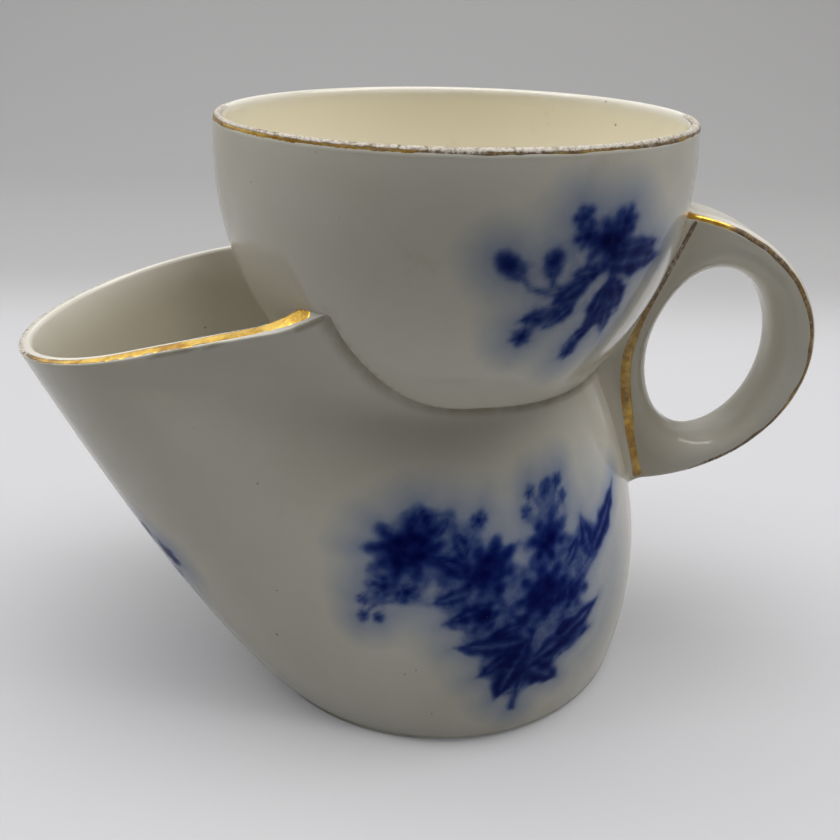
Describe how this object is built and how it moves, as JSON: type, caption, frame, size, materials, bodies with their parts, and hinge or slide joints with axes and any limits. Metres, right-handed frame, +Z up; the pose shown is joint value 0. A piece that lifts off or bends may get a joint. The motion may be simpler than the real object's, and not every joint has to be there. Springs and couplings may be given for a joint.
{
  "type": "shaving scuttle",
  "caption": "Glazed earthenware shaving scuttle: a hot-water reservoir with a wide open spout, a soap bowl set into its top and a flat ring handle, with gilded edges.",
  "frame": {"origin": "middle of the object's plan, on the surface that its foot stands on", "axes": "+X towards the handle, -X towards the spout, +Z up; the two sides of Y = 0 are alike"},
  "size_m": [0.1416, 0.079, 0.1029],
  "materials": {
    "white_glaze": "gloss",
    "glazed_slip": "gloss",
    "worn_gold": "worn gilding"
  },
  "bodies": {
    "root": {"reservoir_body": "white_glaze", "soap_bowl": "white_glaze", "handle": "white_glaze", "bowl_slip_joint": "glazed_slip", "handle_slip_joint": "glazed_slip", "bowl_rim_gilding": "worn_gold", "spout_rim_gilding": "worn_gold", "handle_edge_gilding_near": "worn_gold", "handle_edge_gilding_far": "worn_gold", "handle_root_gilding_near": "worn_gold", "handle_root_gilding_far": "worn_gold"}
  },
  "joints": []
}
